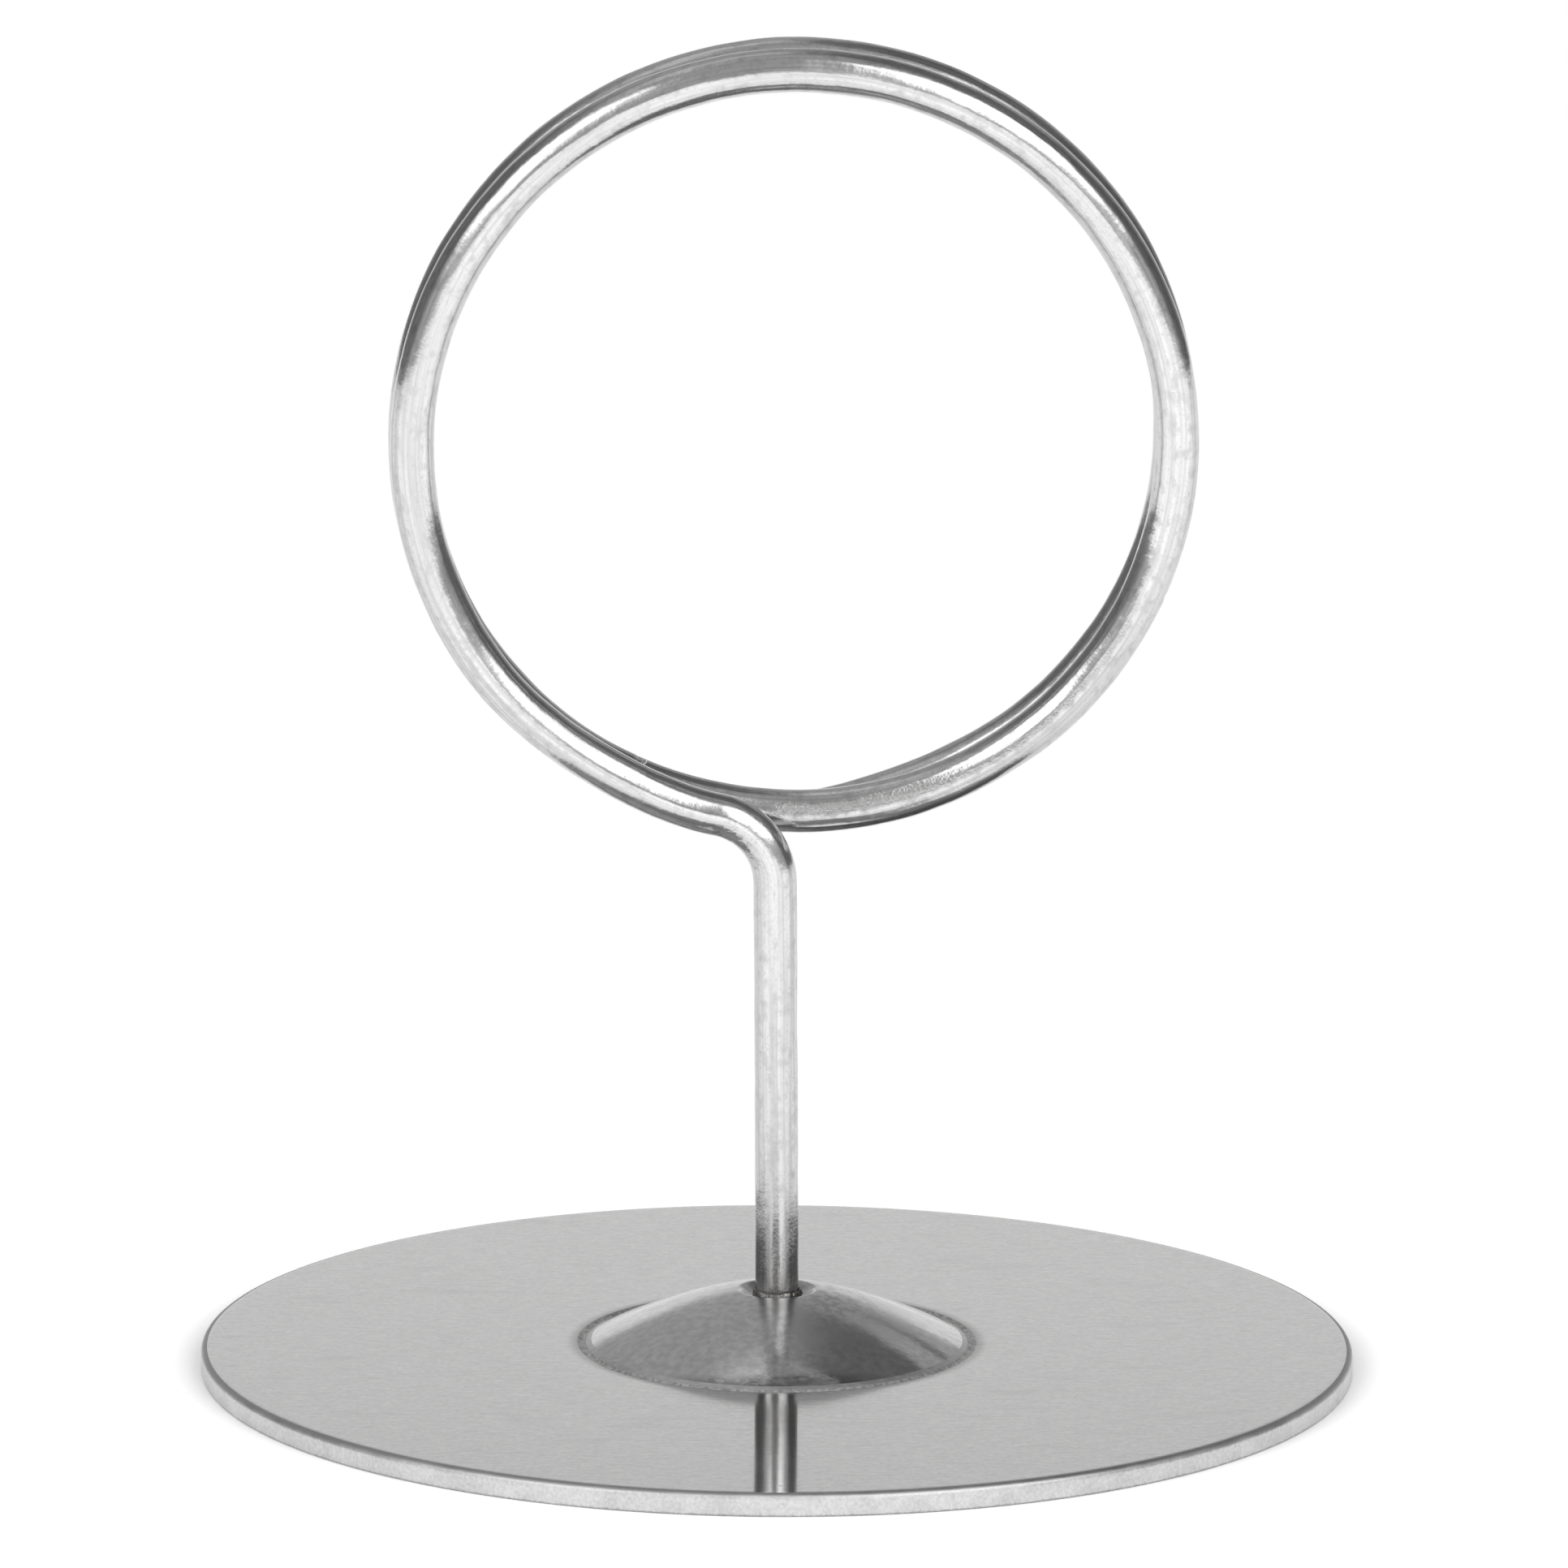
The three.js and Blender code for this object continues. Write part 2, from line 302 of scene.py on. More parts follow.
class HOLDER_OT_base_disc(bpy.types.Operator):
    """Build the pressed base disc with its dome, groove and blanked edge"""

    bl_idname = "card_holder.base_disc"
    bl_label = "Base Disc"

    def execute(self, context):
        sizes = context.scene.card_holder_disc
        colours = context.scene.card_holder_colours
        points, kinds = disc_profile(sizes)
        rows = turned_grid(points, DISC_AROUND)
        piece = closed_mesh("pressed_disc", rows, (0, 0, points[0, 1]), (0, 0, points[-1, 1]))
        steels = {
            SHEET: cold_rolled_sheet(colours, sizes),
            EDGE: blanked_edge(colours, sizes),
            GROOVE: coined_groove(colours),
            DOME: punched_dome(colours, sizes),
        }
        for kind in sorted(steels):
            piece.data.materials.append(steels[kind])
        strips = np.where(kinds[:-1] == kinds[1:], kinds[:-1], SHEET)
        index = np.full(len(piece.data.polygons), DOME, np.int32)
        index[: len(strips) * DISC_AROUND] = np.repeat(strips, DISC_AROUND)
        piece.data.polygons.foreach_set("material_index", index)
        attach(piece, STAND_BODY)
        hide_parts("base_disc")
        return {"FINISHED"}


# ---- Wire ---------------------------------------------------------------------------

WIRE_AROUND = 64
WIRE_STEP = 0.2 * MM
FINE_STEP = 0.05 * MM
TANGENT_STEP = 0.05 * MM
END_ROWS = 8
FOOT_ROUND = 0.1 * MM
FREE_END_ROUND = 0.35 * MM

# Waves left by coiling: spacing along the wire in mm, lobes round it, height in mm, phase.
COILING_WAVES = (
    (3.1, 2, 0.0035, 0.3),
    (5.3, 3, 0.005, 1.9),
    (8.7, 1, 0.009, 4.1),
    (13.9, 2, 0.01, 2.6),
)

# Marks of the coiling tool: angle travelled round the ring, side of the wire (0 is the
# inside of the ring, 90 its front, both in degrees), then height, length and width in mm.
TOOL_MARKS = (
    (372.6, 25, 0.2, 0.12, 0.4),
    (373.6, 10, -0.07, 0.22, 0.5),
    (281.0, 170, -0.1, 0.16, 0.3),
    (281.5, 160, 0.03, 0.3, 0.35),
    (286.0, 60, -0.02, 0.25, 0.12),
)


class WirePath:
    """The wire's centre line by distance from the stem's foot: a line, an arc and the ring.

    The stem leans slightly; the bend is a circle tangent to the stem and to the ring; the
    ring is a circle about its centre whose radius, centre and depth change with the angle
    travelled.
    """

    def __init__(self, s):
        self.s = s
        across = s.ring_x * math.cos(s.stem_lean) + (s.ring_z - s.foot_height) * math.sin(s.stem_lean)
        reach = s.ring_radius + s.bend_radius
        self.bend_end = s.stem_lean + math.acos((across + s.bend_radius) / reach)
        self.bend_x = s.ring_x - reach * math.cos(self.bend_end)
        self.bend_z = s.ring_z - reach * math.sin(self.bend_end)
        self.top_x = self.bend_x + s.bend_radius * math.cos(s.stem_lean)
        self.top_z = self.bend_z + s.bend_radius * math.sin(s.stem_lean)
        self.stem_length = math.hypot(self.top_x, self.top_z - s.foot_height)
        self.ring_at = self.stem_length + s.bend_radius * (self.bend_end - s.stem_lean)
        self.start_angle = math.pi + self.bend_end
        self.to_bottom = self.start_angle + math.pi / 2
        self.to_end = self.start_angle - s.free_end + FULL_TURN
        self.split = self.ring_at + s.ring_radius * self.to_bottom
        self.end = self.ring_at + s.ring_radius * self.to_end

    def at_travel(self, degrees):
        """Distance along the wire after travelling that angle round the ring."""
        return self.ring_at + self.s.ring_radius * math.radians(degrees)

    def ring(self, travel):
        """Ring points by angle travelled.

        The radius is the ring's, less a flat after the bend, plus an oval that fades in on
        the front turn, another on the rear turn, and an opening at the free end. The wire
        passes from front to rear turn on a smooth rise about the ring's lowest point.
        """
        s = self.s
        a = self.start_angle - travel
        rear = smooth_rise((travel - self.to_bottom) / s.crossover + 0.5)
        flat = np.sin(math.pi * np.clip(travel / s.lead_flat_span, 0, 1)) ** 2
        front_oval = smooth_rise(travel / s.oval_fade) * s.front_oval * np.cos(2 * (a - s.front_oval_angle))
        rear_oval = s.rear_oval * np.cos(2 * (a - s.rear_oval_angle))
        tail = np.clip((travel - self.to_end) / s.tail_span + 1, 0, 1) ** 2
        unevenness = rear * (s.rear_extra + rear_oval) + (1 - rear) * front_oval
        radius = s.ring_radius + unevenness - s.lead_flat * flat + s.tail_opening * tail
        x = s.ring_x + rear * s.rear_shift_x + radius * np.cos(a)
        z = s.ring_z + rear * s.rear_shift_z + radius * np.sin(a)
        start_z = s.ring_z + s.ring_radius * math.sin(self.start_angle)
        y = s.turn_pitch * travel / FULL_TURN - math.tan(s.ring_lean) * (z - start_z)
        return np.stack([x, y, z], -1)

    def points(self, distance):
        """Centre points at the given distances along the wire."""
        s = self.s
        d = np.asarray(distance, float)
        share = d / self.stem_length
        rise = self.top_z - s.foot_height
        stem = np.stack([share * self.top_x, 0 * d, s.foot_height + share * rise], -1)
        a = s.stem_lean + (d - self.stem_length) / s.bend_radius
        bend = np.stack(
            [self.bend_x + s.bend_radius * np.cos(a), 0 * d, self.bend_z + s.bend_radius * np.sin(a)], -1
        )
        ring = self.ring(np.maximum(d - self.ring_at, 0) / s.ring_radius)
        on_stem = (d < self.stem_length)[:, None]
        on_bend = (d < self.ring_at)[:, None]
        return np.where(on_stem, stem, np.where(on_bend, bend, ring))

    def frames(self, distance):
        """Centre points with the inner-side and front-side directions across the wire there."""
        centre = self.points(distance)
        tangent = self.points(distance + TANGENT_STEP) - self.points(distance - TANGENT_STEP)
        tangent /= np.linalg.norm(tangent, axis=1)[:, None]
        towards_front = np.array([0, -1.0, 0])
        front = towards_front - tangent * (tangent @ towards_front)[:, None]
        front /= np.linalg.norm(front, axis=1)[:, None]
        return centre, np.cross(tangent, front), front


def wire_skin(path, along, around):
    """Radial unevenness of coiled wire: a sum of long slanted sine waves, and Gaussian tool marks.

    Each mark is height exp(-(distance/long)^2 - (arc/wide)^2) about its place on the wire.
    """
    total = np.zeros(np.broadcast(along, around).shape)
    for spacing, lobes, height, phase in COILING_WAVES:
        total = total + height * MM * np.sin(FULL_TURN * along / (spacing * MM) + lobes * around + phase)
    for travel, side, height, long, wide in TOOL_MARKS:
        away = along - path.at_travel(travel)
        arc_away = path.s.radius * ((around - math.radians(side) + math.pi) % FULL_TURN - math.pi)
        mark = np.exp(-((away / (long * MM)) ** 2) - (arc_away / (wide * MM)) ** 2)
        total = total + height * MM * mark
    return total


def wire_rows(path, start, end, round_start, round_end):
    """Distances of the section rows along the wire, and the section's relative size at each.

    Rows lie a step apart, closer at tool marks and in rounded ends. At an end with corner
    radius c the section's radius loses c (1 - sqrt(1 - t^2)), where t rises from 0 to 1
    over the last c of the wire.
    """
    runs = [np.linspace(start, end, int((end - start) / WIRE_STEP))]
    for corner, at, sign in ((round_start, start, 1), (round_end, end, -1)):
        if corner > 0:
            runs.append(at + sign * np.linspace(0, corner, END_ROWS)[:-1])
    for travel, _, _, long, _ in TOOL_MARKS:
        at, span = path.at_travel(travel), 3 * long * MM
        if start < at < end:
            runs.append(np.arange(at - span, at + span, FINE_STEP))
    distance = np.unique(np.round(np.concatenate(runs), 8))
    scale = np.ones(len(distance))
    for corner, gap in ((round_start, distance - start), (round_end, end - distance)):
        if corner > 0:
            inside = np.clip(1 - gap / corner, 0, 1)
            scale *= 1 - corner / path.s.radius * (1 - np.sqrt(1 - inside**2))
    return distance, scale


def wire_piece(name, path, start, end, round_start, round_end):
    """A round section swept along the wire's path and closed on a pole at each end.

    Row i holds centre(d) + r(d, a) (cos a inner + sin a front). The attribute "grain" is
    each point's place in the straight wire before bending: inner side, front side, length.
    Flat ends get a sharp edge.
    """
    radius = path.s.radius
    distance, scale = wire_rows(path, start, end, round_start, round_end)
    centre, inner, front = path.frames(distance)
    around = np.arange(WIRE_AROUND) * FULL_TURN / WIRE_AROUND
    skin = radius * scale[:, None] + wire_skin(path, distance[:, None], around[None, :])
    across = np.cos(around)[None, :, None] * inner[:, None] + np.sin(around)[None, :, None] * front[:, None]
    piece = closed_mesh(name, centre[:, None] + skin[..., None] * across, centre[0], centre[-1])
    columns = np.broadcast_arrays(radius * np.cos(around), radius * np.sin(around), distance[:, None])
    poles = ((0, 0, distance[0]), (0, 0, distance[-1]))
    grain = np.vstack([np.stack(columns, -1).reshape(-1, 3), poles])
    attribute = piece.data.attributes.new("grain", "FLOAT_VECTOR", "POINT")
    attribute.data.foreach_set("vector", grain.astype(np.float32).ravel())
    edges = np.empty(2 * len(piece.data.edges), np.int32)
    piece.data.edges.foreach_get("vertices", edges)
    row = edges.reshape(-1, 2) // WIRE_AROUND
    last = len(distance) - 1
    flat_ends = [at for at, corner in ((0, round_start), (last, round_end)) if corner == 0]
    sharp = (row[:, 0] == row[:, 1]) & np.isin(row[:, 0], flat_ends)
    piece.data.attributes.new("sharp_edge", "BOOLEAN", "EDGE").data.foreach_set("value", sharp)
    return piece


class HOLDER_OT_wire(bpy.types.Operator):
    """Build the stem with the front turn, and the rear turn that springs open"""

    bl_idname = "card_holder.wire"
    bl_label = "Wire Stem and Ring"

    def execute(self, context):
        path = WirePath(context.scene.card_holder_wire)
        steel = drawn_wire(context.scene.card_holder_colours, path)
        front = wire_piece("stem_and_front_wire", path, 0, path.split, FOOT_ROUND, 0)
        front.data.materials.append(steel)
        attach(front, STAND_BODY)
        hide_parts("stem_and_front_turn")
        rear = wire_piece("rear_wire", path, path.split, path.end, 0, FREE_END_ROUND)
        rear.data.materials.append(steel)
        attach(rear, CLIP_BODY)
        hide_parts("rear_turn")
        return {"FINISHED"}


# ---- Weld ---------------------------------------------------------------------------

WELD_AROUND = 144
WELD_GAP = 0.01 * MM
WIDEST_LUMP = 1.15
LUMPY_SHARE = 0.8

# Lumps of the bead: how many round the stem, their height as a share of the bead, phase.
WELD_LUMPS = ((5, 0.16, 1.0), (11, 0.12, 2.2), (23, 0.08, 0.0))


def weld_rows(wire_radius):
    """Rows of the bead: a quarter ellipse carried round the stem, closed below its inner edge.

    Its width and height follow lumps(a) = 1 + the sum of h sin(n a + phase), with the width
    cut off at the widest lump and only a share of the height lumpy.
    """
    inner = wire_radius + WELD_GAP
    bottom = bead_low.z - WELD_GAP
    width = bead_high.x - inner
    height = bead_high.z - bottom
    across = np.linspace(0, math.pi / 2, 9)[:, None]
    around = np.arange(WELD_AROUND) * FULL_TURN / WELD_AROUND
    lumps = 1 + sum(share * np.sin(count * around + phase) for count, share, phase in WELD_LUMPS)
    r = inner + width * np.cos(across) * np.minimum(lumps, WIDEST_LUMP)
    z = bottom + height * np.sin(across) * (LUMPY_SHARE * lumps / lumps.max() + 1 - LUMPY_SHARE)
    r = np.vstack([r, np.full(WELD_AROUND, inner)])
    z = np.vstack([z, np.full(WELD_AROUND, bottom)])
    return np.stack([r * np.cos(around), r * np.sin(around), z], -1)


class HOLDER_OT_weld(bpy.types.Operator):
    """Build the uneven bead of weld round the stem's foot"""

    bl_idname = "card_holder.weld"
    bl_label = "Weld Bead"

    def execute(self, context):
        piece = closed_mesh("weld_flash", weld_rows(context.scene.card_holder_wire.radius))
        piece.data.materials.append(weld_flash(context.scene.card_holder_colours))
        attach(piece, STAND_BODY)
        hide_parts("weld_bead")
        return {"FINISHED"}


# ---- Materials ----------------------------------------------------------------------


def rgba(value):
    """A socket as it is, or an RGB colour with full alpha."""
    return value if isinstance(value, bpy.types.NodeSocket) else (*value, 1.0)


class Nodes:
    """Fills one node tree. Each method but add and feed returns the new node's result."""

    def __init__(self, tree):
        self.tree = tree
        tree.nodes.clear()

    def feed(self, node, inputs):
        """Gives a node's inputs, in order or by name, their values or feeding sockets."""
        for key, value in inputs.items() if isinstance(inputs, dict) else enumerate(inputs):
            if isinstance(value, bpy.types.NodeSocket):
                self.tree.links.new(node.inputs[key], value)
            else:
                node.inputs[key].default_value = value

    def add(self, kind, inputs=(), **settings):
        """A node with its settings and inputs."""
        node = self.tree.nodes.new(kind)
        for name, value in settings.items():
            setattr(node, name, value)
        self.feed(node, inputs)
        return node

    def math(self, operation, *inputs):
        """One operation on numbers or sockets."""
        return self.add("ShaderNodeMath", inputs, operation=operation).outputs[0]

    def ramp(self, value, low, high, at_low, at_high, **settings):
        """Carries low..high to at_low..at_high and holds the end values outside."""
        inputs = (value, low, high, at_low, at_high)
        return self.add("ShaderNodeMapRange", inputs, **settings).outputs[0]

    def product(self, start, coordinates, ramps, **settings):
        """Start times every ramp; a ramp is a coordinate's name, low, high, at_low, at_high."""
        for name, *ramp in ramps:
            start = self.math("MULTIPLY", start, self.ramp(coordinates[name], *ramp, **settings))
        return start

    def noise(self, place, grain_mm, detail, turn=0.0):
        """Noise whose grains have the given size, or the sizes along X, Y and Z, in mm.

        With sizes, turn picks another part of the pattern.
        """
        scale = 1.0
        if isinstance(grain_mm, tuple):
            scales = [1 / (size * MM) for size in grain_mm]
            inputs = {"Vector": place, "Scale": scales, "Rotation": (0, 0, turn)}
            place = self.add("ShaderNodeMapping", inputs).outputs[0]
        else:
            scale = 1 / (grain_mm * MM)
        inputs = {"Vector": place, "Scale": scale, "Detail": detail}
        return self.add("ShaderNodeTexNoise", inputs).outputs[0]

    def mix(self, share, first, second):
        """The colour that passes from first to second as share rises from 0 to 1."""
        inputs = {0: share, 6: rgba(first), 7: rgba(second)}
        return self.add("ShaderNodeMix", inputs, data_type="RGBA").outputs[2]

    def bump(self, height, height_mm, normal=None, strength=1.0):
        """The normal of a surface that rises by height times height_mm."""
        inputs = {"Strength": strength, "Distance": height_mm * MM, "Height": height}
        if normal is not None:
            inputs["Normal"] = normal
        return self.add("ShaderNodeBump", inputs).outputs[0]


def new_material(name, colour_value, attribute=None):
    """A metal material with its nodes, its place socket and its shader, already joined up.

    The place is the object's own coordinates or the named attribute.
    """
    material = bpy.data.materials.new(name)
    material.use_nodes = True
    material.diffuse_color = rgba(colour_value)
    nodes = Nodes(material.node_tree)
    if attribute:
        place = nodes.add("ShaderNodeAttribute", attribute_name=attribute).outputs["Vector"]
    else:
        place = nodes.add("ShaderNodeTexCoord").outputs["Object"]
    shader = nodes.add("ShaderNodeBsdfPrincipled", {"Base Color": rgba(colour_value), "Metallic": 1.0})
    nodes.add("ShaderNodeOutputMaterial", {"Surface": shader.outputs[0]})
    return material, nodes, place, shader


def cold_rolled_sheet(colours, sizes):
    """Cold-rolled stainless sheet, bright 2B finish: a near-mirror whose faint rolling grain runs
    along X, with soft clouding, hairline scratches, tiny specks, and a dull fringe at the groove."""
    material, nodes, place, shader = new_material("cold_rolled_stainless_sheet", colours.sheet)
    grain = nodes.noise(place, (1.6, 0.25, 0.25), 3)
    cloud = nodes.noise(place, 9, 5)
    mottle = nodes.noise(place, 0.35, 3)

    scratch = nodes.ramp(nodes.noise(place, (4, 0.12, 1), 1, 0.12), 0.74, 0.86, 0, 0.3)
    smear = nodes.ramp(nodes.noise(place, (6, 1.6, 1), 2, -0.5), 0.6, 0.74, 0, 0.3)
    speck_spacing, rare = 1.6 * MM, 0.86
    cells = nodes.add("ShaderNodeTexVoronoi", {"Vector": place, "Scale": 1 / speck_spacing})
    chosen = nodes.add("ShaderNodeSeparateColor", (cells.outputs["Color"],)).outputs[0]
    dot = nodes.ramp(cells.outputs["Distance"], 0.04, 0.08, 1, 0)
    speck = nodes.math("MULTIPLY", dot, nodes.math("GREATER_THAN", chosen, rare))
    marks = nodes.math("MAXIMUM", nodes.math("MAXIMUM", scratch, smear), speck)

    cloud_share, mark_depth = 0.35, -1.2
    fine = nodes.math("ADD", grain, mottle)
    tone = nodes.ramp(nodes.math("MULTIPLY_ADD", cloud, cloud_share, fine), 0.85, 1.5, 0, 1)
    tone = nodes.mix(marks, nodes.mix(tone, colours.sheet_shade, colours.sheet), colours.mark)

    raggedness, fringe_dullness = -0.9 * MM, 0.22
    groove_end = sizes.dome_radius + sizes.groove_width
    radius = nodes.add("ShaderNodeVectorMath", (place,), operation="LENGTH").outputs["Value"]
    ragged = nodes.math("MULTIPLY_ADD", mottle, raggedness, radius)
    fringe = nodes.ramp(ragged, groove_end - 0.6 * MM, groove_end + 0.35 * MM, 1, 0)
    rough = nodes.ramp(cloud, 0.3, 0.7, 0.075, 0.1)
    rough = nodes.math("MULTIPLY_ADD", fringe, fringe_dullness, rough)
    normal = nodes.bump(nodes.math("MULTIPLY_ADD", marks, mark_depth, grain), 0.0012)
    across_grain = nodes.add("ShaderNodeCombineXYZ", (0, 1, 0)).outputs[0]
    nodes.feed(shader, {"Base Color": tone, "Roughness": rough, "Normal": normal})
    nodes.feed(shader, {"Anisotropic": 0.8, "Tangent": across_grain})
    return material


def punched_dome(colours, sizes):
    """Dome drawn over a polished punch: a little wavy, with faint orange peel where the metal
    stretched and duller towards the stem, darkened by painted shade on its right side and
    by a painted shade line along the crease at its front foot."""
    material, nodes, place, shader = new_material("punch_polished_stainless_dome", colours.dome)
    waves = nodes.noise(place, 4, 2)
    fine = nodes.noise(place, 0.28, 3)
    peel = nodes.noise(place, 0.55, 6)
    wander = 2 * MM
    radius = nodes.add("ShaderNodeVectorMath", (place,), operation="LENGTH").outputs["Value"]
    radius = nodes.math("MULTIPLY_ADD", waves, wander, radius)
    x, y, _ = nodes.add("ShaderNodeSeparateXYZ", (place,)).outputs
    coordinates = {"x": x, "y": y, "radius": radius}
    foot = sizes.dome_radius
    tone = nodes.mix(nodes.ramp(peel, 0.35, 0.65, 0, 1), colours.dome_shade, colours.dome)
    # Masks of painted shade: mottled over the dome's right side, ragged along the crease at its front foot.
    right_flank_painted_shade = nodes.ramp(peel, 0.42, 0.56, 0, 1)
    front_foot_painted_shade = nodes.ramp(peel, 0.35, 0.5, 0.2, 1)
    # Painted shade: both masks darken the dome towards the painted shade colour.
    for start, ramps in (
        (right_flank_painted_shade, (("x", 0, 0.25 * foot, 0, 0.8), ("radius", 0.5 * foot, 0.9 * foot, 1, 0))),
        (front_foot_painted_shade, (("y", -0.9 * foot, -0.78 * foot, 1, 0), ("radius", 0.99 * foot, 1.04 * foot, 0, 0.9))),
    ):
        tone = nodes.mix(nodes.product(start, coordinates, ramps), tone, colours.painted_shade_tone)
    rough = nodes.ramp(radius, 0.3 * foot, 0.95 * foot, 0.32, 0.1)
    normal = nodes.bump(fine, 0.004, nodes.bump(waves, 0.05))
    nodes.feed(shader, {"Base Color": tone, "Roughness": rough, "Normal": normal})
    return material


def blanked_edge(colours, sizes):
    """Blanked sheet edge: satin, with upright shear lines, a broken grain and mottled light patches,
    and both rims painted dark: a painted dark reflection on the upper rim, painted contact shade on the
    lower."""
    material, nodes, place, shader = new_material("blanked_stainless_edge", colours.edge)
    lines = nodes.noise(place, (0.25, 0.25, 3), 3)
    grit = nodes.noise(place, 0.22, 3)
    patch = nodes.noise(place, 2.2, 3)
    share = nodes.ramp(nodes.math("ADD", patch, grit), 0.7, 1.25, 0, 1)
    tone = nodes.mix(share, colours.edge_shade, colours.edge)
    z = nodes.add("ShaderNodeSeparateXYZ", (place,)).outputs[2]
    raggedness = 0.12 * MM
    ragged = nodes.math("MULTIPLY_ADD", grit, raggedness, z)
    # Painted shade: the upper rim is darkened in place of a dark reflection, the lower rim in place of the
    # shade where the disc meets the table.
    upper = nodes.ramp(ragged, sizes.sheet - 0.12 * MM, sizes.sheet + 0.02 * MM, 0, 0.6)
    lower = nodes.ramp(ragged, 0.1 * MM, 0.24 * MM, 0.8, 0)
    tone = nodes.mix(nodes.math("MAXIMUM", upper, lower), tone, colours.painted_shade_tone)
    rough = nodes.ramp(patch, 0.3, 0.7, 0.42, 0.54)
    normal = nodes.bump(nodes.math("ADD", lines, grit), 0.012)
    nodes.feed(shader, {"Base Color": tone, "Roughness": rough, "Normal": normal})
    return material


def gritty_metal(name, colour_value, grain_mm, detail, ramp, low_tone, high_tone, rough):
    """Even metal with grit: the ramp of a noise picks a tone between two, and the noise rises."""
    material, nodes, place, shader = new_material(name, colour_value)
    grit = nodes.noise(place, grain_mm, detail)
    tone = nodes.mix(nodes.ramp(grit, *ramp, 0, 1), low_tone, high_tone)
    normal = nodes.bump(grit, 0.03)
    nodes.feed(shader, {"Base Color": tone, "Roughness": rough, "Normal": normal})
    return material


def coined_groove(colours):
    """Coined groove: matt light grey metal left gritty by the press tool."""
    return gritty_metal(
        "coined_stainless_groove",
        colours.groove,
        grain_mm=0.3,
        detail=4,
        ramp=(0.35, 0.65),
        low_tone=colours.groove_shade,
        high_tone=colours.groove,
        rough=0.6,
    )


def weld_flash(colours):
    """Weld flash: dull, darkened by heat, with a few bright specks."""
    return gritty_metal(
        "heat_darkened_weld_flash",
        colours.weld,
        grain_mm=0.2,
        detail=3,
        ramp=(0.55, 0.75),
        low_tone=colours.weld,
        high_tone=colours.wire,
        rough=0.35,
    )


# Patterns of the wire: grain across, across and along it in mm, and detail.
WIRE_PATTERNS = {
    "draw": ((0.22, 0.22, 16), 4),
    "streak": ((0.5, 0.5, 7), 2),
    "chatter": ((2.5, 2.5, 0.5), 2),
    "mottle": ((0.55, 0.55, 0.8), 3),
    "pits": ((0.17, 0.17, 0.2), 3),
}

# How far each pattern rises in mm, and the mask that it shows through.
WIRE_RELIEF = (
    ("draw", 0.01, None),
    ("streak", 0.012, None),
    ("chatter", 0.005, None),
    ("mottle", 0.014, None),
    ("pits", 0.004, None),
    ("mottle", 0.09, "craze"),
    ("pits", 0.06, "pitted"),
    ("streak", 0.02, "heat"),
    ("pits", 0.01, "heat"),
)


def wire_masks(path):
    """Where the wire is marked: heat above the weld, crazed outside the bend, pitted where the
    turns cross and along the seam before it. Each is a product of ramps in metres."""
    radius = path.s.radius
    return {
        "heat": (("along", 2.5 * MM, 8.5 * MM, 1, 0),),
        "craze": (
            ("along", path.stem_length - 1.2 * MM, path.stem_length + 1.5 * MM, 0, 1),
            ("along", path.ring_at - 0.5 * MM, path.ring_at + 3 * MM, 1, 0),
            ("inner", -0.2 * radius, 0.35 * radius, 1, 0.15),
        ),
        "cross": (
            ("along", path.at_travel(322), path.at_travel(333), 0, 1),
            ("along", path.at_travel(352), path.at_travel(356), 1, 0),
            ("inner", 0.1 * radius, 0.32 * radius, 0, 1),
            ("inner", 0.75 * radius, 0.9 * radius, 1, 0),
            ("front", 0, 0.3 * radius, 0, 1),
        ),
        "seam": (
            ("along", path.at_travel(282), path.at_travel(292), 0, 0.6),
            ("along", path.at_travel(345), path.at_travel(352), 1, 0),
            ("inner", 0.12 * radius, 0.28 * radius, 0, 1),
            ("inner", 0.36 * radius, 0.52 * radius, 1, 0),
            ("front", 0, 0.3 * radius, 0, 1),
        ),
    }


def drawn_wire(colours, path):
    """Bright drawn stainless wire: a near-mirror with fine draw lines along it and faint cross
    bands from coiling; stretched and crazed on the bend, pitted where the turns cross, and
    dulled by heat for a few millimetres above the weld."""
    material, nodes, place, shader = new_material("bright_drawn_stainless_wire", colours.wire, "grain")
    patterns = {name: nodes.noise(place, *row) for name, row in WIRE_PATTERNS.items()}
    inner, front, along = nodes.add("ShaderNodeSeparateXYZ", (place,)).outputs
    wander_along, wander_inner = 2.5 * MM, 0.8 * MM
    coordinates = {
        "along": nodes.math("MULTIPLY_ADD", patterns["mottle"], wander_along, along),
        "inner": nodes.math("MULTIPLY_ADD", patterns["mottle"], wander_inner, inner),
        "front": front,
    }
    masks = {name: nodes.product(1.0, coordinates, ramps) for name, ramps in wire_masks(path).items()}
    masks["pitted"] = nodes.math("MAXIMUM", masks["cross"], masks["seam"])

    normal = None
    for pattern, height_mm, mask in WIRE_RELIEF:
        normal = nodes.bump(patterns[pattern], height_mm, normal, masks[mask] if mask else 1.0)
    rough = nodes.ramp(patterns["streak"], 0.3, 0.7, 0.15, 0.22)
    for mask, extra in (("pitted", 0.1), ("craze", 0.06), ("heat", 0.04)):
        rough = nodes.math("MULTIPLY_ADD", masks[mask], extra, rough)
    tone = colours.wire
    for share, low, high, shade in (
        (patterns["draw"], 0.35, 0.75, colours.wire_shade),
        (patterns["mottle"], 0.5, 0.75, colours.wire_shade),
        (patterns["pits"], 0.55, 0.8, colours.wire_shade),
        (masks["pitted"], 0, 2.2, colours.weld),
        (masks["heat"], 0, 1.7, colours.weld),
    ):
        tone = nodes.mix(nodes.ramp(share, low, high, 0, 1), tone, shade)
    nodes.feed(shader, {"Base Color": tone, "Roughness": rough, "Normal": normal})
    return material


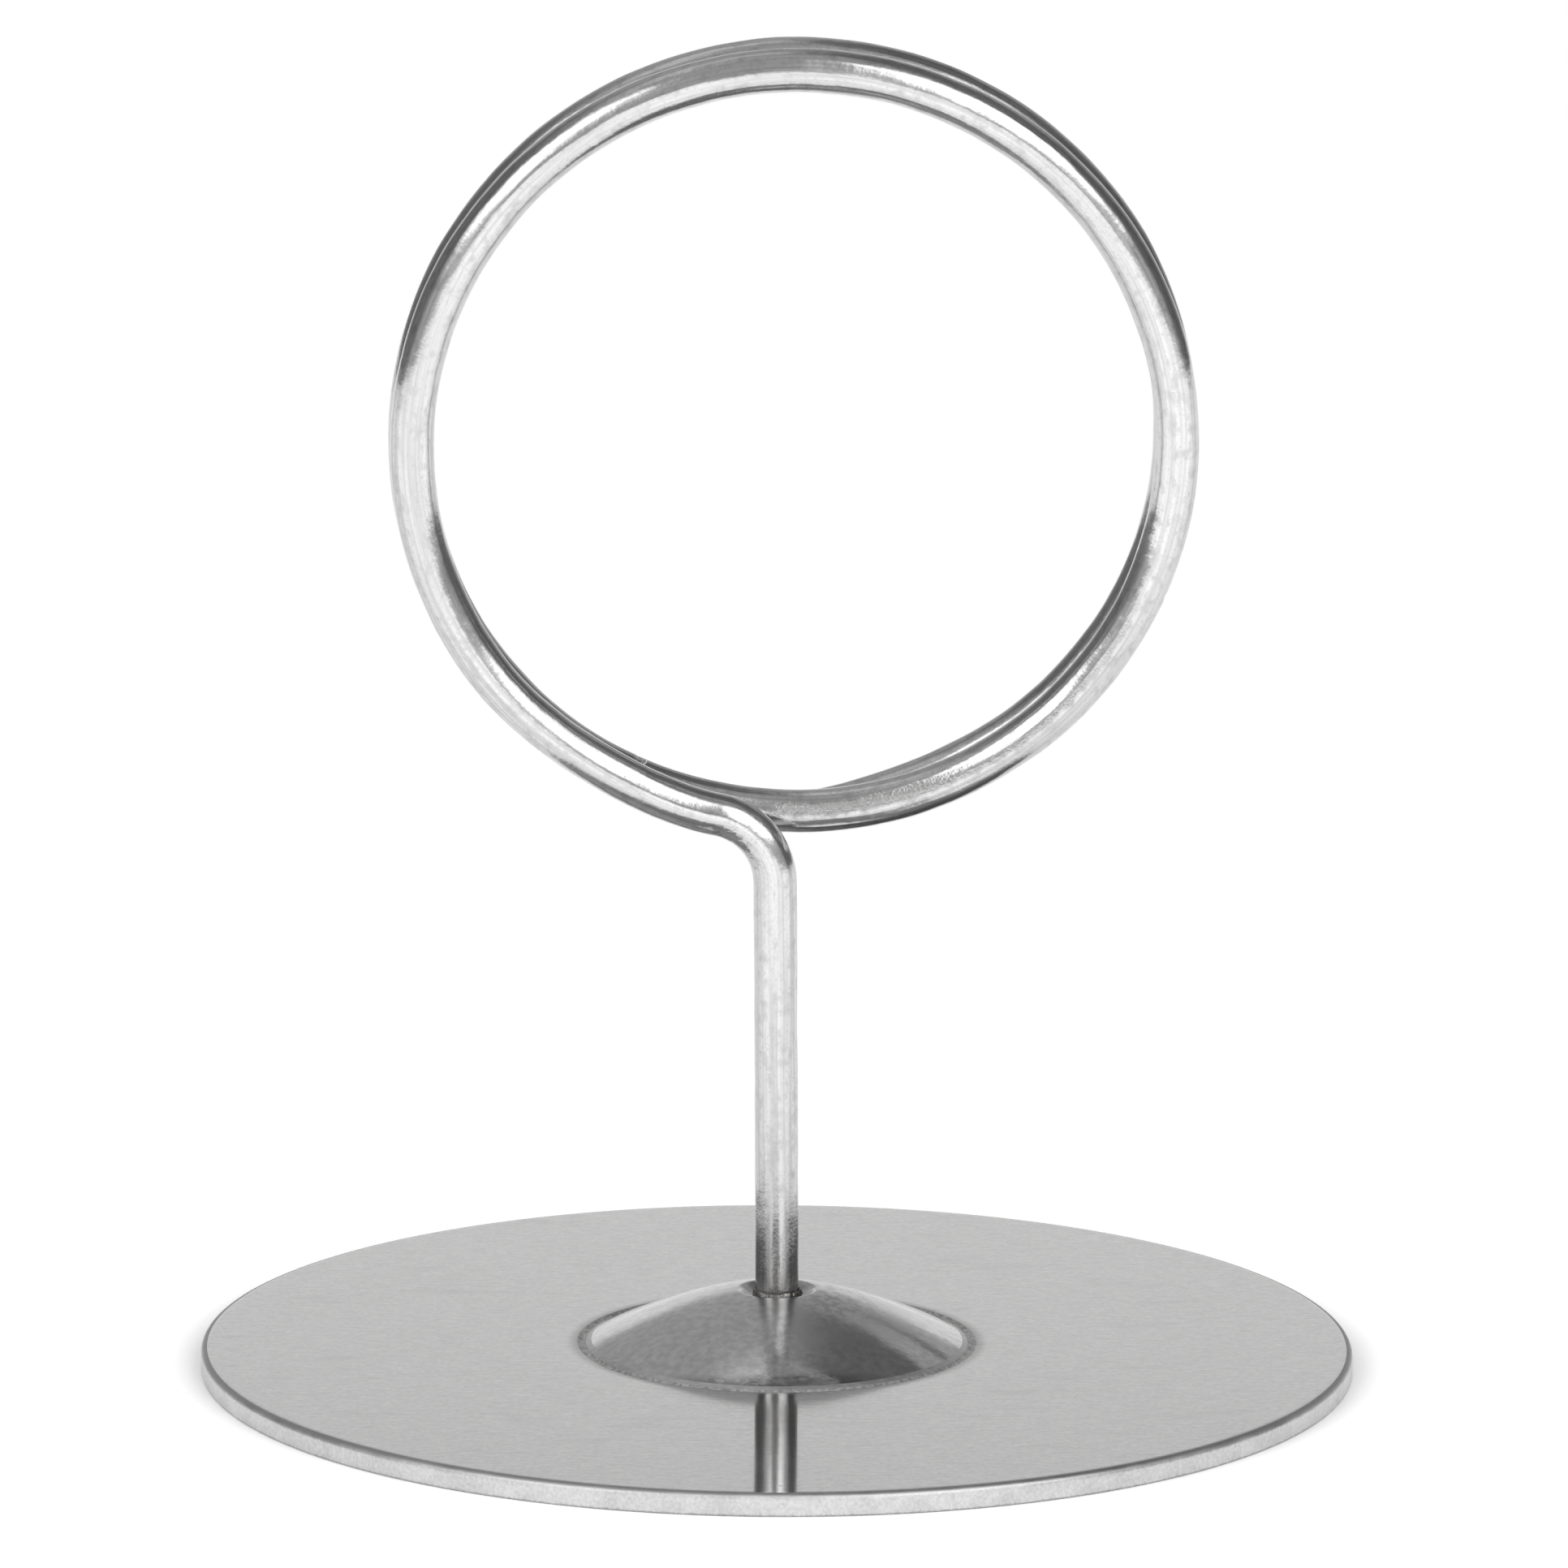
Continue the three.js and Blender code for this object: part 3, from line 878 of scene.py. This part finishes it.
def table_with_painted_light(colours):
    """Matt white acrylic table that glows with painted light: a painted pool of light, stronger towards the
    front, and a painted shadow under and round the disc.
    """
    material, nodes, place, shader = new_material("white_table_with_painted_light", colours.floor)
    front_y, back_y, front_painted_light, back_painted_light = -160 * MM, 40 * MM, 0.92, 0.46
    shade_middle, shade_from, shade_to, shade_share = (0, 0.9 * MM, 0), 37.2 * MM, 40.6 * MM, 0.25
    y = nodes.add("ShaderNodeSeparateXYZ", (place,)).outputs[1]
    # Painted light: the table's emission is a painted pool of light that rises towards the front.
    painted_light_pool = nodes.ramp(y, front_y, back_y, front_painted_light, back_painted_light, interpolation_type="SMOOTHSTEP")
    # Painted shadow: the emission drops to a quarter under and round the disc's rim.
    away = nodes.add("ShaderNodeVectorMath", (place, shade_middle), operation="DISTANCE").outputs["Value"]
    outside_painted_shadow = nodes.ramp(away, shade_from, shade_to, shade_share, 1)
    nodes.feed(shader, {"Metallic": 0, "Roughness": 1, "Specular IOR Level": 0})
    # The emission's faint blue tint makes the painted shadow bluish.
    nodes.feed(shader, {"Emission Color": (0.985, 0.98, 1, 1)})
    nodes.feed(shader, {"Emission Strength": nodes.math("MULTIPLY", painted_light_pool, outside_painted_shadow)})
    return material


# ---- Stage --------------------------------------------------------------------------

FLOOR_REACH = 4.0
FLOOR_THICKNESS = 0.01
FLOOR_AROUND = 128

# Camera in metres and radians: yaw to the right, pitch down, roll; lens in mm.
CAMERA_PLACE = Vector((-0.00654, -0.677, 0.17725))
CAMERA_YAW = 0.0101
CAMERA_PITCH = 0.2013
CAMERA_ROLL = 0.0047
CAMERA_LENS = 242.7


def make_camera():
    """Long-lens camera a little above the ring, looking slightly down."""
    data = bpy.data.cameras.new("camera")
    data.lens = CAMERA_LENS
    data.sensor_width = 36
    data.clip_start = 0.01
    data.clip_end = 50
    camera = bpy.data.objects.new("camera", data)
    bpy.context.scene.collection.objects.link(camera)
    forward = Vector(
        (
            math.sin(CAMERA_YAW) * math.cos(CAMERA_PITCH),
            math.cos(CAMERA_YAW) * math.cos(CAMERA_PITCH),
            -math.sin(CAMERA_PITCH),
        )
    )
    right = Vector((math.cos(CAMERA_YAW), -math.sin(CAMERA_YAW), 0))
    up = right.cross(forward)
    turned_right = math.cos(CAMERA_ROLL) * right + math.sin(CAMERA_ROLL) * up
    turned_up = math.cos(CAMERA_ROLL) * up - math.sin(CAMERA_ROLL) * right
    axes = Matrix((turned_right, turned_up, -forward)).transposed()
    camera.matrix_world = Matrix.Translation(CAMERA_PLACE) @ axes.to_4x4()
    bpy.context.scene.camera = camera


ROOM_RADIANCE = 0.43
LOWER_EDGE_SLOPE = -0.28
LEFT_INNER_SLOPE = 0.42
RIGHT_INNER_SLOPE = -0.15

# Lit and dark places of the studio, seen from the middle of the set. Each joins the room
# by adding or by taking the larger, as a product of smooth ramps (coordinate, from, to,
# value at from, value at to) in degrees. Azimuth is 0 at the front and + to the right, and
# aside is its size. lower_edge is elevation plus a slope times aside; left_inner and
# right_inner are azimuth plus a slope times elevation.
ROOM_PLACES = {
    "right_dark_side": (
        "ADD",
        (("azimuth", 62, 85, 0, 1), ("azimuth", 120, 146, 1, 0), ("elevation", 36, 40, -0.29, 0)),
    ),
    "right_dark_line": (
        "ADD",
        (
            ("azimuth", 130, 140, 0, 1),
            ("azimuth", 164, 170, 1, 0),
            ("elevation", 25, 26.5, 0, 1),
            ("elevation", 28, 29.5, -0.25, 0),
        ),
    ),
    "right_dark_ceiling": (
        "ADD",
        (
            ("azimuth", 62, 85, 0, 1),
            ("azimuth", 156, 188, 1, 0),
            ("elevation", 36, 40, 0, 1),
            ("elevation", 74, 84, -0.27, 0),
        ),
    ),
    "left_dark_side": (
        "ADD",
        (("azimuth", -85, -62, 1, 0), ("azimuth", -152, -132, 0, 1), ("elevation", 35, 60, -0.25, 0)),
    ),
    "left_glow": (
        "ADD",
        (("azimuth", -80, -60, 1, 0), ("elevation", 56, 66, 0, 1), ("elevation", 70, 80, 0.3, 0)),
    ),
    "backdrop": ("ADD", (("aside", 148, 168, 0, 1), ("elevation", 14, 19, 0.42, 0))),
    "left_soft_box": (
        "MAXIMUM",
        (
            ("azimuth", -78, -62, 0, 1),
            ("left_inner", -18, -7, 1, 0),
            ("lower_edge", 2, 6, 0, 1),
            ("elevation", 48, 56, 2.4, 0),
        ),
    ),
    "right_soft_box": (
        "MAXIMUM",
        (
            ("right_inner", 6, 11, 0, 1),
            ("azimuth", 58, 76, 1, 0),
            ("lower_edge", 2, 6, 0, 1),
            ("elevation", 54, 64, 2.4, 0),
        ),
    ),
}


def room_light():
    """World light: a grey room with its lit and dark places, as a function of direction."""
    world = bpy.data.worlds.new("studio")
    bpy.context.scene.world = world
    world.use_nodes = True
    nodes = Nodes(world.node_tree)
    direction = nodes.add("ShaderNodeTexCoord").outputs["Generated"]
    x, y, z = nodes.add("ShaderNodeSeparateXYZ", (direction,)).outputs
    coordinates = {}
    for name, operation, *inputs in (
        ("forward", "MULTIPLY", y, -1.0),
        ("azimuth_turn", "ARCTAN2", x, "forward"),
        ("azimuth", "DEGREES", "azimuth_turn"),
        ("elevation_turn", "ARCSINE", z),
        ("elevation", "DEGREES", "elevation_turn"),
        ("aside", "ABSOLUTE", "azimuth"),
        ("lower_edge", "MULTIPLY_ADD", "aside", LOWER_EDGE_SLOPE, "elevation"),
        ("left_inner", "MULTIPLY_ADD", "elevation", LEFT_INNER_SLOPE, "azimuth"),
        ("right_inner", "MULTIPLY_ADD", "elevation", RIGHT_INNER_SLOPE, "azimuth"),
    ):
        inputs = [coordinates[item] if isinstance(item, str) else item for item in inputs]
        coordinates[name] = nodes.math(operation, *inputs)
    radiance = ROOM_RADIANCE
    for joins, ramps in ROOM_PLACES.values():
        level = nodes.product(1.0, coordinates, ramps, interpolation_type="SMOOTHSTEP")
        radiance = nodes.math(joins, radiance, level)
    light = nodes.add("ShaderNodeBackground", {"Color": (1, 1, 1, 1), "Strength": radiance})
    nodes.add("ShaderNodeOutputWorld", {"Surface": light.outputs[0]})


class HOLDER_OT_stage(bpy.types.Operator):
    """Set up the table with its painted light and painted shadow, the studio light and the camera"""

    bl_idname = "card_holder.stage"
    bl_label = "Stage"

    def execute(self, context):
        a = np.arange(FLOOR_AROUND) * FULL_TURN / FLOOR_AROUND
        top = np.stack([FLOOR_REACH * np.cos(a), FLOOR_REACH * np.sin(a), 0 * a], -1)
        low = top - np.array([0, 0, FLOOR_THICKNESS])
        floor = closed_mesh("floor", np.stack([low, top]), (0, 0, -FLOOR_THICKNESS), (0, 0, 0))
        floor.data.materials.append(table_with_painted_light(context.scene.card_holder_colours))
        room_light()
        make_camera()
        view = context.scene.view_settings
        view.view_transform = "Standard"
        view.look = "None"
        return {"FINISHED"}


class HOLDER_PT_panel(bpy.types.Panel):
    """Lists the operators that build the card holder"""

    bl_label = "Ring Card Holder"
    bl_idname = "HOLDER_PT_panel"
    bl_space_type = "VIEW_3D"
    bl_region_type = "UI"
    bl_category = "Card Holder"

    def draw(self, context):
        for operator in OPERATORS:
            self.layout.operator(operator.bl_idname)


OPERATORS = (HOLDER_OT_base_disc, HOLDER_OT_wire, HOLDER_OT_weld, HOLDER_OT_stage)
GROUPS = {
    "card_holder_disc": DiscSizes,
    "card_holder_wire": WireSizes,
    "card_holder_colours": SteelColours,
}


def register():
    for group in GROUPS.values():
        bpy.utils.register_class(group)
    for name, group in GROUPS.items():
        setattr(bpy.types.Scene, name, PointerProperty(type=group))
    for item in (*OPERATORS, HOLDER_PT_panel):
        bpy.utils.register_class(item)


def unregister():
    for item in reversed((*OPERATORS, HOLDER_PT_panel)):
        bpy.utils.unregister_class(item)
    for name, group in GROUPS.items():
        delattr(bpy.types.Scene, name)
        bpy.utils.unregister_class(group)


def main():
    """Build every piece and the stage."""
    register()
    bpy.ops.card_holder.base_disc()
    bpy.ops.card_holder.wire()
    bpy.ops.card_holder.weld()
    bpy.ops.card_holder.stage()


if __name__ == "__main__":
    main()
